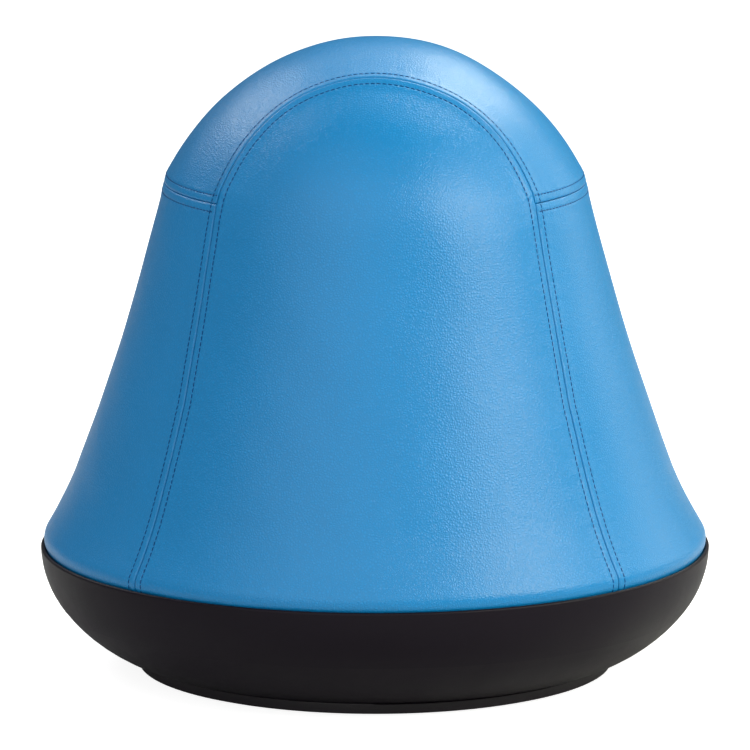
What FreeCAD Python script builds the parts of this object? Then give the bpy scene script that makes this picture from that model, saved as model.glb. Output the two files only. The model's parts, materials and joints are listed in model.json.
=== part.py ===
"""Active-sitting ball seat: an air ball in a bell-shaped cover on a swivelling bowl.

Millimetres, +Z up. The origin is on the floor, on the seat's own axis. The front is towards -Y.
"""
import FreeCAD, Part
import math
import os
import Sketcher

SIZES = {
    # Cover outline: crown arc, dome arc, shoulder, two hollow skirt arcs, straight flare, hem roll.
    "total_height": 577.4,
    "crown_arc": 191.5,
    "crown_angle": 30.0,
    "dome_arc": 239.0,
    "shoulder_radius": 189.5,
    "shoulder_height": 453.0,
    "shoulder_angle": 20.0,
    "waist_arc": 2175.0,
    "waist_radius": 269.4,
    "waist_height": 189.0,
    "waist_angle": 20.2,
    "flare_arc": 311.0,
    "flare_angle": 30.5,
    "flare_straight": 15.0,
    "hem_angle": 50.0,
    "cover_skin": 1.6,
    "lining_foam": 3.0,
    # Seams of the cover. The shoulder seams run a little below the shoulder's corner.
    "seam_height": 446.1,
    "seam_radius": 191.4,
    "arch_reach": 91.0,
    "arch_top_arc": 490.0,
    "arch_top_half": 61.0,
    "arch_side_arc": 156.8,
    "arch_foot_angle": 48.2,
    "seam_bend_radius": 240.0,
    "seam_angle": 45.5,
    "cutter_reach": 340.0,
    "cutter_edge": 410.0,
    "cutter_top": 600.0,
    "crown_cutter_edge": 230.0,
    "seam_gap": 0.3,
    # Hoop inside the hem.
    "hoop_radius": 287.2,
    "hoop_height": 118.2,
    "hoop_section": 10.0,
    "hoop_play": 0.2,
    "binding_start": 52.0,
    "binding_end": 80.0,
    "binding_skin": 4.0,
    # Bowl.
    "rim_radius": 305.0,
    "rim_height": 110.2,
    "bowl_wall": 4.5,
    "bowl_upper_arc": 89.5,
    "bowl_lower_arc": 137.8,
    "bowl_bend_radius": 286.5,
    "bowl_bend_height": 58.5,
    "bowl_bend_angle": 37.5,
    "bowl_base_radius": 224.5,
    "bowl_base_height": 13.0,
    "ledge_radius": 270.0,
    "ledge_height": 102.9,
    "ledge_depth": 5.0,
    "gusset_drop": 26.0,
    "gusset_count": 12,
    "gusset_skin": 3.0,
    "recess_radius": 135.0,
    "recess_ceiling": 24.0,
    "hub_radius": 22.0,
    "hub_top": 36.0,
    "boss_radius": 6.0,
    "boss_cover": 2.0,
    "overlap": 1.0,
    # Ball cradle.
    "cradle_wall": 4.0,
    "cradle_foot_radius": 150.0,
    "cradle_flange": 20.0,
    "cradle_base_height": 29.5,
    "cradle_rim_radius": 122.0,
    "cradle_eye_radius": 60.0,
    "cradle_rib_count": 6,
    # Air ball and valve.
    "ball_radius": 199.0,
    "ball_height": 370.2,
    "ball_skin": 2.5,
    "valve_bore": 3.1,
    "valve_body": 6.0,
    "valve_flange": 10.0,
    "valve_length": 9.0,
    "plug_head": 6.5,
    "plug_head_height": 2.0,
    "plug_length": 12.0,
    "pin_chamfer": 1.0,
    # Turntable bearing.
    "plate_inner_radius": 55.0,
    "plate_outer_radius": 128.0,
    "plate_skin": 3.0,
    "race_radius": 110.0,
    "race_section": 4.3,
    "race_chord": 2.5,
    "bearing_ball": 3.9,
    "bearing_count": 24,
    "cage_half_width": 7.0,
    "cage_skin": 2.0,
    "pocket_play": 0.1,
    # Pivot bolt.
    "pivot_radius": 10.0,
    "running_clearance": 0.05,
    "pivot_head_radius": 16.0,
    "pivot_head_height": 3.5,
    "pivot_head_recess": 1.0,
    "pivot_top": 54.0,
    "washer_radius": 22.0,
    "washer_skin": 2.5,
    "axial_play": 0.3,
    "nut_half_flats": 15.0,
    "nut_height": 12.0,
    # Foot.
    "foot_radius": 216.0,
    "foot_top": 11.0,
    "foot_skin": 4.5,
    "foot_clearance": 1.5,
    "foot_edge_round": 1.5,
    "foot_hub_radius": 26.0,
    "foot_rib_count": 16,
    "foot_rib_skin": 3.0,
    "foot_rib_recess": 1.0,
    "grip_inner_radius": 196.0,
    "grip_outer_radius": 212.0,
    "grip_height": 4.5,
    "grip_wall": 4.0,
    "grip_play": 0.2,
    "grip_chamfer": 0.8,
    "grip_groove": 1.0,
    # Screws.
    "screw_radius": 2.0,
    "screw_head_radius": 4.0,
    "screw_head_height": 2.0,
    "screw_play": 0.05,
    "lower_screw_circle": 90.0,
    "lower_screw_tip": 3.5,
    "upper_screw_circle": 75.0,
    "upper_screw_tip": 36.0,
    "cradle_screw_circle": 161.0,
    "cradle_screw_tip": 19.0,
    "hoop_screw_circle": 285.0,
    "hoop_screw_tip": 121.2,
    "plate_screw_count": 6,
    "hoop_screw_count": 12,
}

doc = FreeCAD.newDocument("BallSeat")
sheet = doc.addObject("Spreadsheet::Sheet", "Sizes")
for row, (alias, number) in enumerate(SIZES.items(), start=1):
    sheet.set(f"A{row}", alias)
    sheet.set(f"B{row}", str(number))
    sheet.setAlias(f"B{row}", alias)
doc.recompute()


class Size:
    """A measure that knows its number and the sheet formula that gives it."""

    def __init__(self, value, formula):
        self.value = value
        self.formula = formula

    def __add__(self, other):
        other = as_size(other)
        return Size(self.value + other.value, f"({self.formula} + {other.formula})")

    def __sub__(self, other):
        other = as_size(other)
        return Size(self.value - other.value, f"({self.formula} - {other.formula})")

    def __mul__(self, other):
        other = as_size(other)
        return Size(self.value * other.value, f"({self.formula} * {other.formula})")

    def __truediv__(self, other):
        other = as_size(other)
        return Size(self.value / other.value, f"({self.formula} / {other.formula})")

    def __neg__(self):
        return Size(-self.value, f"(0 - {self.formula})")


def as_size(number):
    return number if isinstance(number, Size) else Size(float(number), repr(float(number)))


def cell(alias):
    return Size(float(SIZES[alias]), f"Sizes.{alias}")


def sine(angle):
    return Size(math.sin(math.radians(angle.value)), f"sin({angle.formula})")


def cosine(angle):
    return Size(math.cos(math.radians(angle.value)), f"cos({angle.formula})")


def root(square):
    return Size(math.sqrt(square.value), f"sqrt({square.formula})")


ZERO = as_size(0)


# Sketches and lathe work ---------------------------------------------------------------------

def origin_feature(body, role):
    return next(item for item in body.Origin.OriginFeatures if item.Role == role)


def new_body(name):
    return doc.addObject("PartDesign::Body", name)


def new_sketch(body, role, name):
    sketch = body.newObject("Sketcher::SketchObject", name)
    sketch.AttachmentSupport = (origin_feature(body, role), [""])
    sketch.MapMode = "FlatFace"
    return sketch


def to(across, up):
    """A straight edge to a point."""
    return as_size(across), as_size(up), None, None


def arc_to(across, up, radius, centre_side):
    """An arc to a point, with its centre on the left or the right of the way travelled."""
    return as_size(across), as_size(up), as_size(radius), centre_side


def arc_centre(start, end, radius, centre_side):
    chord = end - start
    offset = math.sqrt(radius ** 2 - (chord.Length / 2) ** 2)
    sideways = FreeCAD.Vector(-chord.y, chord.x, 0)
    sideways.normalize()
    sign = 1 if centre_side == "left" else -1
    return (start + end) / 2 + sideways * offset * sign


def add_edge(sketch, start, end, radius, centre_side):
    """Adds one edge and returns its number and which of its ends is the start."""
    if radius is None:
        return sketch.addGeometry(Part.LineSegment(start, end), False), 1, 2
    centre = arc_centre(start, end, radius.value, centre_side)
    first, last = (start, end) if centre_side == "left" else (end, start)
    first_angle = math.atan2(first.y - centre.y, first.x - centre.x)
    last_angle = math.atan2(last.y - centre.y, last.x - centre.x)
    if last_angle <= first_angle:
        last_angle += 2 * math.pi
    circle = Part.Circle(centre, FreeCAD.Vector(0, 0, 1), radius.value)
    number = sketch.addGeometry(Part.ArcOfCircle(circle, first_angle, last_angle), False)
    return (number, 1, 2) if centre_side == "left" else (number, 2, 1)


def bind(sketch, constraint, label, formula):
    number = sketch.addConstraint(constraint)
    sketch.renameConstraint(number, label)
    sketch.setExpression(f"Constraints.{label}", formula)


def draw(sketch, outline, tag=""):
    """Draws a closed outline whose corners and arc radii follow the sheet."""
    corners = [FreeCAD.Vector(item[0].value, item[1].value, 0) for item in outline]
    edges = []
    for index, (_, _, radius, centre_side) in enumerate(outline):
        edges.append(add_edge(sketch, corners[index - 1], corners[index], radius, centre_side))
    for index, (across, up, radius, _) in enumerate(outline):
        number, _, end = edges[index]
        following, start, _ = edges[(index + 1) % len(edges)]
        sketch.addConstraint(Sketcher.Constraint("Coincident", number, end, following, start))
        if across.value == 0:
            sketch.addConstraint(Sketcher.Constraint("PointOnObject", number, end, -2))
        else:
            across_rule = Sketcher.Constraint("DistanceX", -1, 1, number, end, across.value)
            bind(sketch, across_rule, f"across{tag}{index}", across.formula)
        if up.value == 0:
            sketch.addConstraint(Sketcher.Constraint("PointOnObject", number, end, -1))
        else:
            up_rule = Sketcher.Constraint("DistanceY", -1, 1, number, end, up.value)
            bind(sketch, up_rule, f"up{tag}{index}", up.formula)
        if radius is not None:
            radius_rule = Sketcher.Constraint("Radius", number, radius.value)
            bind(sketch, radius_rule, f"radius{tag}{index}", radius.formula)


def lathe(name, outline):
    """A body turned about the Z axis from a half section of (radius, height) corners."""
    body = new_body(name)
    sketch = new_sketch(body, "XZ_Plane", f"{name}_section")
    draw(sketch, outline)
    turned = body.newObject("PartDesign::Revolution", f"{name}_turned")
    turned.Profile = sketch
    turned.ReferenceAxis = (sketch, ["V_Axis"])
    turned.Angle = 360
    doc.recompute()
    return body


def around(body, feature, count):
    """Repeats a feature evenly round the Z axis."""
    pattern = body.newObject("PartDesign::PolarPattern", f"{feature.Name}_round")
    pattern.Originals = [feature]
    pattern.Axis = (origin_feature(body, "Z_Axis"), [""])
    pattern.Angle = 360
    pattern.setExpression("Occurrences", count.formula)
    body.Tip = pattern
    doc.recompute()


def add_ribs(body, outline, skin, count):
    """Adds upright radial ribs evenly round the Z axis, the first one half a step from +X."""
    before = body.Shape.Volume
    sketch = new_sketch(body, "XZ_Plane", f"{body.Name}_rib_outline")
    draw(sketch, outline)
    half_step = FreeCAD.Rotation(FreeCAD.Vector(0, 1, 0), 180 / count.value)
    sketch.AttachmentOffset = FreeCAD.Placement(FreeCAD.Vector(), half_step)
    rib = body.newObject("PartDesign::Pad", f"{body.Name}_rib")
    rib.Profile = sketch
    rib.Midplane = True
    rib.setExpression("Length", skin.formula)
    doc.recompute()
    around(body, rib, count)
    if body.Shape.Volume <= before:
        raise RuntimeError(f"the ribs of {body.Name} add nothing")


def add_bosses(body, base, top, circle, count, tag):
    """Adds round posts on a bolt circle, from one height to another."""
    sketch = new_sketch(body, "XY_Plane", f"{body.Name}_{tag}_circle")
    sketch.AttachmentOffset = FreeCAD.Placement(FreeCAD.Vector(0, 0, base.value), FreeCAD.Rotation())
    sketch.setExpression("AttachmentOffset.Base.z", base.formula)
    boss_radius = cell("boss_radius")
    centre = FreeCAD.Vector(circle.value, 0, 0)
    round_edge = Part.Circle(centre, FreeCAD.Vector(0, 0, 1), boss_radius.value)
    number = sketch.addGeometry(round_edge, False)
    sketch.addConstraint(Sketcher.Constraint("PointOnObject", number, 3, -1))
    bind(sketch, Sketcher.Constraint("DistanceX", -1, 1, number, 3, circle.value), "reach", circle.formula)
    bind(sketch, Sketcher.Constraint("Radius", number, boss_radius.value), "size", boss_radius.formula)
    boss = body.newObject("PartDesign::Pad", f"{body.Name}_{tag}")
    boss.Profile = sketch
    boss.setExpression("Length", (top - base).formula)
    doc.recompute()
    around(body, boss, count)


# Fasteners and booleans ----------------------------------------------------------------------

def primitive(kind, name, **measures):
    item = doc.addObject(f"Part::{kind}", name)
    for key, measure in measures.items():
        item.setExpression(key, measure.formula)
    return item


def place(item, radius, degrees, height):
    item.setExpression("Placement.Base.x", f"{radius.formula} * cos({degrees})")
    item.setExpression("Placement.Base.y", f"{radius.formula} * sin({degrees})")
    item.setExpression("Placement.Base.z", height.formula)


def ring_angles(count):
    total = int(count.value)
    return [360.0 * index / total for index in range(total)]


def compound(name, items):
    group = doc.addObject("Part::Compound", name)
    group.Links = items
    return group


def screw_ring(name, circle, count, tip, head, play=ZERO):
    """Separate upright screws on a circle. Each runs from its tip to the top of its head."""
    shank_radius = cell("screw_radius") + play
    head_radius = cell("screw_head_radius") + play
    head_height = cell("screw_head_height")
    head_up = head.value > tip.value
    span = head - tip if head_up else tip - head
    if span.value <= head_height.value:
        raise RuntimeError(f"{name} are shorter than their heads")
    screws = []
    for index, degrees in enumerate(ring_angles(count)):
        shank = primitive("Cylinder", f"{name}_shank{index}", Radius=shank_radius, Height=span)
        place(shank, circle, degrees, tip if head_up else head)
        cap = primitive("Cylinder", f"{name}_cap{index}", Radius=head_radius, Height=head_height)
        place(cap, circle, degrees, head - head_height if head_up else head)
        screw = doc.addObject("Part::Fuse", f"{name}_screw{index}")
        screw.Base = shank
        screw.Tool = cap
        screws.append(screw)
    return compound(name, screws)


def boolean(kind, name, base, tool):
    """A Cut or a Common, checked to have changed its base and to have left something."""
    result = doc.addObject(f"Part::{kind}", name)
    result.Base = base
    result.Tool = tool
    doc.recompute()
    if not 0 < result.Shape.Volume < base.Shape.Volume - 1e-6:
        raise RuntimeError(f"{name} left {result.Shape.Volume} of {base.Shape.Volume}")
    return result


# Cover ---------------------------------------------------------------------------------------

def roll_radius():
    return cell("cover_skin") + cell("lining_foam") + cell("hoop_section") + cell("hoop_play")


def hem_point(radius, angle, below=False):
    """A point of a circle round the hoop's section, at an angle above or below level."""
    height = sine(angle) * radius
    level = cell("hoop_height")
    return cell("hoop_radius") + cosine(angle) * radius, level - height if below else level + height


def cover_corners(depth):
    """Corners of the cover's half section, at a depth under its outer face."""
    crown = cell("crown_arc") - depth
    crown_centre = cell("total_height") - cell("crown_arc")
    roll = roll_radius() - depth
    roll_start = hem_point(roll, cell("flare_angle"))
    straight = cell("flare_straight")
    return {
        "apex": (ZERO, cell("total_height") - depth),
        "crown": (sine(cell("crown_angle")) * crown, crown_centre + cosine(cell("crown_angle")) * crown),
        "shoulder": (cell("shoulder_radius") - cosine(cell("shoulder_angle")) * depth,
                     cell("shoulder_height") - sine(cell("shoulder_angle")) * depth),
        "waist": (cell("waist_radius") - cosine(cell("waist_angle")) * depth,
                  cell("waist_height") - sine(cell("waist_angle")) * depth),
        "flare": (roll_start[0] - sine(cell("flare_angle")) * straight,
                  roll_start[1] + cosine(cell("flare_angle")) * straight),
        "roll": roll_start,
        "hem": hem_point(roll, cell("hem_angle"), below=True),
    }


def cover_layer(name, outer, inner):
    """A turned shell between two depths under the cover's outer face."""
    outside = cover_corners(outer)
    inside = cover_corners(inner)
    crown, dome = cell("crown_arc"), cell("dome_arc")
    waist, flare, roll = cell("waist_arc"), cell("flare_arc"), roll_radius()
    return lathe(name, [
        to(*outside["apex"]),
        arc_to(*outside["crown"], crown - outer, "right"),
        arc_to(*outside["shoulder"], dome - outer, "right"),
        arc_to(*outside["waist"], waist + outer, "left"),
        arc_to(*outside["flare"], flare + outer, "left"),
        to(*outside["roll"]),
        arc_to(*outside["hem"], roll - outer, "right"),
        to(*inside["hem"]),
        arc_to(*inside["roll"], roll - inner, "left"),
        to(*inside["flare"]),
        arc_to(*inside["waist"], flare + inner, "right"),
        arc_to(*inside["shoulder"], waist + inner, "right"),
        arc_to(*inside["crown"], dome - inner, "left"),
        arc_to(*inside["apex"], crown - inner, "left"),
    ])


def arch_corners(gap):
    """Plan corners of the front arch seam on its right half. A gap moves the seam to the rear."""
    reach = cell("arch_reach") - gap
    top_arc = cell("arch_top_arc")
    half = cell("arch_top_half")
    top_drop = top_arc - root(top_arc * top_arc - half * half)
    foot_radius, foot_angle = cell("seam_radius"), cell("arch_foot_angle")
    return {
        "top_end": (half, -(reach + top_drop)),
        "foot": (sine(foot_angle) * foot_radius, gap - cosine(foot_angle) * foot_radius),
    }


def mirrored(point):
    return -point[0], point[1]


def polar_corner(radius, angle):
    return sine(angle) * radius, -(cosine(angle) * radius)


def upright_prism(name, outline, base, top, turn=0):
    """A plan outline raised from one height to another, turned about Z by whole degrees."""
    body = new_body(name)
    sketch = new_sketch(body, "XY_Plane", f"{name}_plan")
    draw(sketch, outline)
    sketch.AttachmentOffset = FreeCAD.Placement(FreeCAD.Vector(0, 0, base.value), FreeCAD.Rotation())
    sketch.setExpression("AttachmentOffset.Base.z", base.formula)
    raised = body.newObject("PartDesign::Pad", f"{name}_raised")
    raised.Profile = sketch
    raised.setExpression("Length", (top - base).formula)
    body.Placement = FreeCAD.Placement(FreeCAD.Vector(), FreeCAD.Rotation(FreeCAD.Vector(0, 0, 1), turn))
    doc.recompute()
    return body


def front_outline():
    arch = arch_corners(ZERO)
    bend = polar_corner(cell("seam_bend_radius"), cell("seam_angle"))
    edge = polar_corner(cell("cutter_reach"), cell("seam_angle"))
    far = -cell("cutter_edge")
    top_arc, side_arc = cell("arch_top_arc"), cell("arch_side_arc")
    return [
        to(*mirrored(arch["foot"])),
        arc_to(*mirrored(arch["top_end"]), side_arc, "right"),
        arc_to(*arch["top_end"], top_arc, "right"),
        arc_to(*arch["foot"], side_arc, "right"),
        to(*bend),
        to(*edge),
        to(edge[0], far),
        to(-edge[0], far),
        to(*mirrored(edge)),
        to(*mirrored(bend)),
    ]


def crown_outline(gap):
    """Plan of the crown band: the strip between the front and the rear arch seams."""
    arch = arch_corners(gap)
    top_end, foot = arch["top_end"], arch["foot"]
    side = cell("crown_cutter_edge")
    top_arc, side_arc = cell("arch_top_arc"), cell("arch_side_arc")
    return [
        to(*mirrored(foot)),
        arc_to(*mirrored(top_end), side_arc, "right"),
        arc_to(*top_end, top_arc, "right"),
        arc_to(*foot, side_arc, "right"),
        to(side, foot[1]),
        to(side, -foot[1]),
        to(foot[0], -foot[1]),
        arc_to(top_end[0], -top_end[1], side_arc, "left"),
        arc_to(-top_end[0], -top_end[1], top_arc, "left"),
        arc_to(-foot[0], -foot[1], side_arc, "left"),
        to(-side, -foot[1]),
        to(-side, foot[1]),
    ]


def right_half_outline():
    """Plan of everything on the right of the seat's middle plane."""
    far = cell("cutter_edge")
    return [to(0, -far), to(far, -far), to(far, far), to(0, far)]


def build_cover():
    skin = cell("cover_skin")
    gap = cell("seam_gap")
    floor, above = ZERO, cell("cutter_top")
    seam = cell("seam_height")
    outer_layer = cover_layer("cover_layer", ZERO, skin)
    lining_layer = cover_layer("lining_layer", skin, skin + cell("lining_foam"))

    front_cutter = upright_prism("front_cutter", front_outline(), floor, above)
    rear_cutter = upright_prism("rear_cutter", front_outline(), floor, above, turn=180)
    right_cutter = upright_prism("right_cutter", right_half_outline(), floor, seam)
    left_cutter = upright_prism("left_cutter", right_half_outline(), floor, seam, turn=180)
    crown_cutter = upright_prism("crown_cutter", crown_outline(gap), seam + gap, above)
    crown_hole = upright_prism("crown_hole", crown_outline(ZERO), seam, above)

    without_front = boolean("Cut", "without_front", outer_layer, front_cutter)
    sides_and_crown = boolean("Cut", "sides_and_crown", without_front, rear_cutter)
    return [
        boolean("Common", "front_panel", outer_layer, front_cutter),
        boolean("Common", "back_panel", outer_layer, rear_cutter),
        boolean("Common", "right_side_panel", sides_and_crown, right_cutter),
        boolean("Common", "left_side_panel", sides_and_crown, left_cutter),
        boolean("Common", "crown_panel", sides_and_crown, crown_cutter),
        boolean("Common", "crown_pad", lining_layer, crown_cutter),
        boolean("Cut", "skirt_lining", lining_layer, crown_hole),
    ]


def build_hem():
    """The hoop inside the hem roll, and the moulded strip that hooks the cover's edge under it."""
    hoop = primitive("Torus", "hoop_ring", Radius1=cell("hoop_radius"), Radius2=cell("hoop_section"))
    hoop.setExpression("Placement.Base.z", cell("hoop_height").formula)
    holes = hoop_screws("hoop_screw_holes", cell("screw_play"))
    inner = cell("hoop_section") + cell("hoop_play")
    outer = inner + cell("binding_skin")
    start, end = cell("binding_start"), cell("binding_end")
    binding = lathe("hem_binding", [
        to(*hem_point(outer, start, below=True)),
        arc_to(*hem_point(outer, end, below=True), outer, "right"),
        to(*hem_point(inner, end, below=True)),
        arc_to(*hem_point(inner, start, below=True), inner, "left"),
    ])
    return [boolean("Cut", "hem_hoop", hoop, holes), binding, hoop_screws("hoop_screws", ZERO)]


# Bowl and cradle -----------------------------------------------------------------------------

def hoop_screws(name, play):
    head = cell("ledge_height") - cell("ledge_depth") - cell("screw_head_height")
    circle, count = cell("hoop_screw_circle"), cell("hoop_screw_count")
    return screw_ring(name, circle, count, cell("hoop_screw_tip"), head, play)


def upper_plate_screws(name, play):
    head = cell("recess_ceiling") - cell("plate_skin")
    circle, count = cell("upper_screw_circle"), cell("plate_screw_count")
    return screw_ring(name, circle, count, cell("upper_screw_tip"), head, play)


def lower_plate_screws(name, play):
    head = cell("foot_top") + cell("plate_skin")
    circle, count = cell("lower_screw_circle"), cell("plate_screw_count")
    return screw_ring(name, circle, count, cell("lower_screw_tip"), head, play)


def cradle_screws(name, play):
    head = cell("cradle_base_height") + cell("cradle_wall") + cell("screw_head_height")
    circle, count = cell("cradle_screw_circle"), cell("plate_screw_count")
    return screw_ring(name, circle, count, cell("cradle_screw_tip"), head, play)


def drilled(name, base, *hole_groups):
    """Cuts groups of screw holes from a body, one after another."""
    result = base
    for number, holes in enumerate(hole_groups, start=1):
        last = number == len(hole_groups)
        result = boolean("Cut", name if last else f"{name}_stage{number}", result, holes)
    return result


def build_bowl():
    wall = cell("bowl_wall")
    rim, rim_height = cell("rim_radius"), cell("rim_height")
    bend_radius, bend_height = cell("bowl_bend_radius"), cell("bowl_bend_height")
    bend_angle = cell("bowl_bend_angle")
    bend_inside = (bend_radius - cosine(bend_angle) * wall, bend_height + sine(bend_angle) * wall)
    base_radius, base_height = cell("bowl_base_radius"), cell("bowl_base_height")
    floor = base_height + wall
    recess, ceiling = cell("recess_radius"), cell("recess_ceiling")
    bore = cell("pivot_radius") + cell("running_clearance")
    hub, hub_top = cell("hub_radius"), cell("hub_top")
    ledge, ledge_top = cell("ledge_radius"), cell("ledge_height")
    ledge_foot = ledge_top - cell("ledge_depth")
    body = lathe("bowl_body", [
        to(bore, ceiling),
        to(recess, ceiling),
        to(recess, base_height),
        to(base_radius, base_height),
        arc_to(bend_radius, bend_height, cell("bowl_lower_arc"), "left"),
        arc_to(rim, rim_height, cell("bowl_upper_arc"), "left"),
        arc_to(rim - wall / 2, rim_height + wall / 2, wall / 2, "left"),
        arc_to(rim - wall, rim_height, wall / 2, "left"),
        to(rim - wall, ledge_top),
        to(ledge, ledge_top),
        to(ledge, ledge_foot),
        to(rim - wall, ledge_foot),
        arc_to(*bend_inside, cell("bowl_upper_arc"), "right"),
        arc_to(base_radius, floor, cell("bowl_lower_arc") - wall, "right"),
        to(recess + wall, floor),
        to(recess + wall, ceiling + wall),
        to(hub, ceiling + wall),
        to(hub, hub_top),
        to(bore, hub_top),
    ])
    gusset_low = ledge_foot - cell("gusset_drop")
    gusset = [
        to(ledge, ledge_foot),
        to(rim - wall / 2, ledge_foot),
        to(bend_radius + wall, gusset_low),
    ]
    add_ribs(body, gusset, cell("gusset_skin"), cell("gusset_count"))
    count = cell("plate_screw_count")
    post_base, post_top = floor - cell("overlap"), cell("cradle_base_height")
    add_bosses(body, post_base, post_top, cell("cradle_screw_circle"), count, "post")
    boss_base, boss_top = ceiling + wall - cell("overlap"), cell("upper_screw_tip") + cell("boss_cover")
    add_bosses(body, boss_base, boss_top, cell("upper_screw_circle"), count, "boss")
    play = cell("screw_play")
    holes = [
        upper_plate_screws("bowl_plate_holes", play),
        cradle_screws("bowl_cradle_holes", play),
        hoop_screws("bowl_hoop_holes", play),
    ]
    return drilled("bowl_shell", body, *holes)


def ball_underside(radius, depth):
    """Height of a sphere round the ball's centre, at a radius from the seat's axis."""
    sphere = cell("ball_radius") + depth
    return cell("ball_height") - root(sphere * sphere - radius * radius)


def build_cradle():
    """A ribbed cone on the bowl's floor with a dished rim that the ball sits in."""
    wall = cell("cradle_wall")
    foot, flange = cell("cradle_foot_radius"), cell("cradle_flange")
    base = cell("cradle_base_height")
    rim, eye = cell("cradle_rim_radius"), cell("cradle_eye_radius")
    ball = cell("ball_radius")
    throat = rim - wall
    rim_top = ball_underside(rim, 0)
    body = lathe("cradle_body", [
        to(foot, base),
        to(foot + flange, base),
        to(foot + flange, base + wall),
        to(foot + wall, base + wall),
        to(rim + wall, rim_top),
        to(rim, rim_top),
        arc_to(eye, ball_underside(eye, 0), ball, "right"),
        to(eye, ball_underside(eye, wall)),
        arc_to(throat, ball_underside(throat, wall), ball + wall, "left"),
    ])
    rib = [
        to(foot + wall / 2, base + wall / 2),
        to(foot + flange, base + wall / 2),
        to(foot + flange, base + wall * 2),
        to(rim + wall * 2, rim_top - wall * 2),
        to(rim + wall / 2, rim_top - wall * 2),
    ]
    add_ribs(body, rib, cell("gusset_skin"), cell("cradle_rib_count"))
    holes = cradle_screws("cradle_flange_holes", cell("screw_play"))
    return [boolean("Cut", "ball_cradle", body, holes), cradle_screws("cradle_screws", ZERO)]


# Ball and valve ------------------------------------------------------------------------------

def build_ball():
    """A hollow ball with a valve at its lowest point, and the valve's plug."""
    ball, skin, centre = cell("ball_radius"), cell("ball_skin"), cell("ball_height")
    hole = cell("valve_body")
    inside = ball - skin
    lathe("air_ball", [
        to(hole, ball_underside(hole, 0)),
        arc_to(0, centre + ball, ball, "left"),
        to(0, centre + inside),
        arc_to(hole, centre - root(inside * inside - hole * hole), inside, "right"),
    ])
    flange, bore, length = cell("valve_flange"), cell("valve_bore"), cell("valve_length")
    seat_face = ball_underside(ZERO, 0) - skin
    ledge = ball_underside(hole, 0)
    seat = lathe("valve_seat", [
        to(bore, seat_face),
        to(flange, seat_face),
        to(flange, ledge),
        to(hole, ledge),
        to(hole, seat_face + length),
        to(bore, seat_face + length),
    ])
    stem = bore - cell("running_clearance")
    head, head_height = cell("plug_head"), cell("plug_head_height")
    head_top = seat_face - cell("axial_play")
    tip, chamfer = head_top + cell("plug_length"), cell("pin_chamfer")
    plug = lathe("valve_plug", [
        to(0, head_top - head_height),
        to(head, head_top - head_height),
        to(head, head_top),
        to(stem, head_top),
        to(stem, tip - chamfer),
        to(stem - chamfer, tip),
        to(0, tip),
    ])
    return [doc.getObject("air_ball"), seat, plug]


# Turntable and foot --------------------------------------------------------------------------

def race_plate(name, low, race_on_top):
    """A flat steel ring with a round groove that the bearing balls run in."""
    inner, outer, skin = cell("plate_inner_radius"), cell("plate_outer_radius"), cell("plate_skin")
    race, half, section = cell("race_radius"), cell("race_chord"), cell("race_section")
    high = low + skin
    if race_on_top:
        outline = [to(inner, low), to(outer, low), to(outer, high), to(race + half, high)]
        outline += [arc_to(race - half, high, section, "right"), to(inner, high)]
    else:
        outline = [to(inner, low), to(race - half, low)]
        outline += [arc_to(race + half, low, section, "right"), to(outer, low)]
        outline += [to(outer, high), to(inner, high)]
    return lathe(name, outline)


def build_turntable():
    play, foot_top, ceiling = cell("screw_play"), cell("foot_top"), cell("recess_ceiling")
    skin, race = cell("plate_skin"), cell("race_radius")
    lower = race_plate("lower_plate_body", foot_top, True)
    upper = race_plate("upper_plate_body", ceiling - skin, False)
    middle = (foot_top + ceiling) / 2
    count = cell("bearing_count")
    half_width, cage_skin = cell("cage_half_width"), cell("cage_skin")
    cage_low, cage_high = middle - cage_skin / 2, middle + cage_skin / 2
    cage = lathe("cage_body", [
        to(race - half_width, cage_low),
        to(race + half_width, cage_low),
        to(race + half_width, cage_high),
        to(race - half_width, cage_high),
    ])
    balls, pockets = [], []
    for index, degrees in enumerate(ring_angles(count)):
        ball = primitive("Sphere", f"bearing_ball{index}", Radius=cell("bearing_ball"))
        place(ball, race, degrees, middle)
        balls.append(ball)
        pocket_radius = cell("bearing_ball") + cell("pocket_play")
        pocket = primitive("Cylinder", f"cage_pocket{index}", Radius=pocket_radius, Height=cage_skin * 2)
        place(pocket, race, degrees, middle - cage_skin)
        pockets.append(pocket)
    return [
        boolean("Cut", "swivel_lower_plate", lower, lower_plate_screws("lower_plate_holes", play)),
        boolean("Cut", "swivel_upper_plate", upper, upper_plate_screws("upper_plate_holes", play)),
        boolean("Cut", "bearing_cage", cage, compound("cage_pockets", pockets)),
        compound("bearing_balls", balls),
        lower_plate_screws("lower_plate_screws", ZERO),
        upper_plate_screws("upper_plate_screws", ZERO),
    ]


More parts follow.
